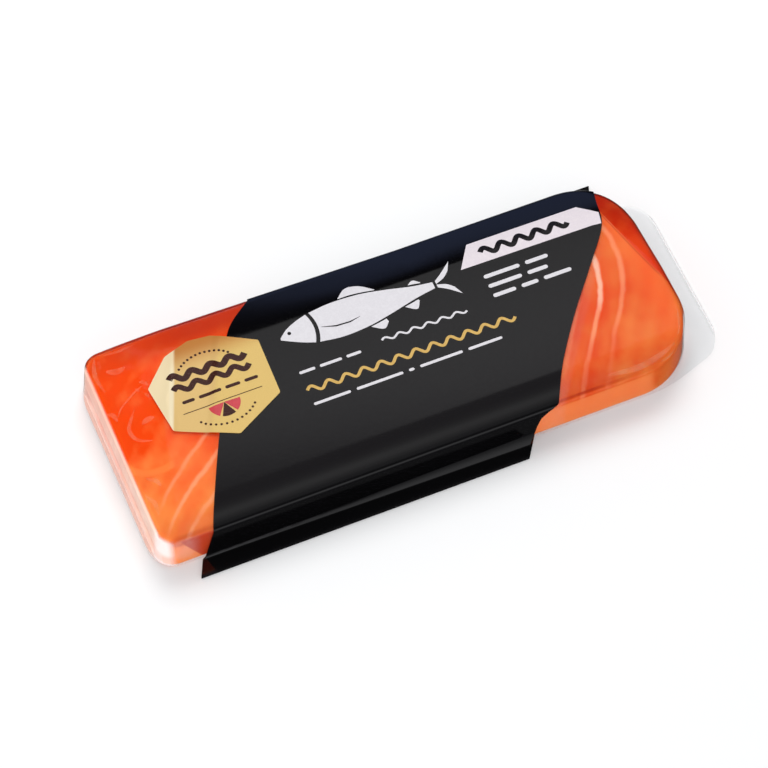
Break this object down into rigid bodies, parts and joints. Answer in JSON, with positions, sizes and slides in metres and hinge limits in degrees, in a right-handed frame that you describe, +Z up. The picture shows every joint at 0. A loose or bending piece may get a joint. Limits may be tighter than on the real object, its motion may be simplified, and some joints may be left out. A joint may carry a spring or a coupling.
{
  "type": "pack of salmon fillet",
  "caption": "Long salmon fillet portion in a clear formed pack with a pull tab, banded by a slanted black card sleeve with a gold seal.",
  "frame": {"origin": "middle of the footprint on the surface the pack lies on", "axes": "+X along the pack towards the pull tab, +Y to the back long side, +Z up"},
  "size_m": [0.237, 0.1054, 0.021],
  "materials": {
    "salmon": "moist raw salmon flesh, orange with pale fat lines",
    "clear_film": "clear glossy formed film",
    "base_film": "milky translucent base film",
    "sleeve_card": "laminated black card, glossy",
    "gold_label": "satin gold paper seal"
  },
  "bodies": {
    "root": {"salmon_fillet": "salmon", "clear_cover": "clear_film", "base_film": "base_film", "sleeve_band": "sleeve_card", "sleeve_base": "sleeve_card", "gold_seal": "gold_label"}
  },
  "joints": []
}
